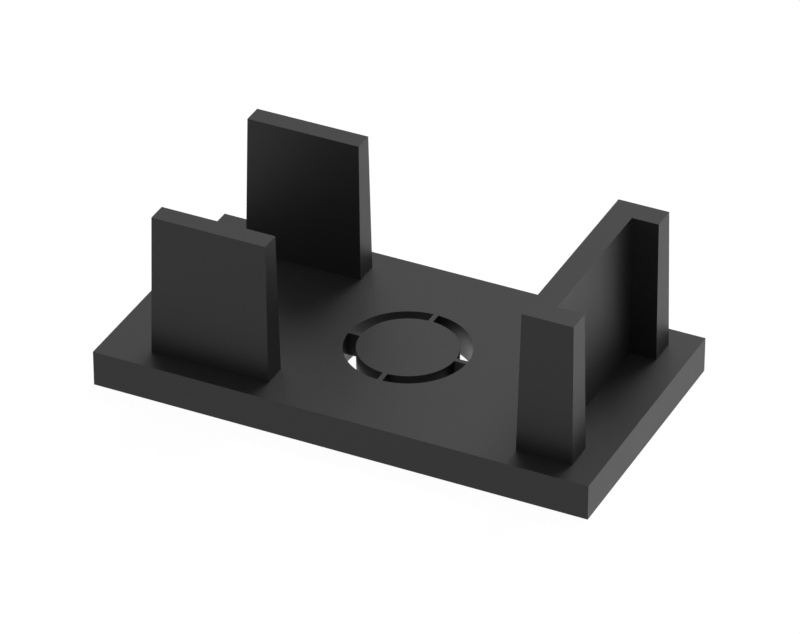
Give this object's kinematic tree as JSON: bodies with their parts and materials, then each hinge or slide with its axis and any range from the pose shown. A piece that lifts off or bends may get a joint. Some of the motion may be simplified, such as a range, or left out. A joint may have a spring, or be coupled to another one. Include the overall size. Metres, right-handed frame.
{
  "type": "profile end cap",
  "caption": "Moulded plastic cap that closes the end of a framing profile: a flat plate with push-in tabs, a channel-shaped upstand and a round knock-out held by thin bridges.",
  "frame": {"origin": "middle of the plate's outer face, which is also the bottom of the part's box", "axes": "+X along the plate towards the channel, +Y across the plate, +Z from the outer face into the profile"},
  "size_m": [0.0414, 0.022, 0.015],
  "materials": {
    "black_plastic": "fine matt, moulded"
  },
  "bodies": {
    "root": {"end_cap": "black_plastic"}
  },
  "joints": []
}
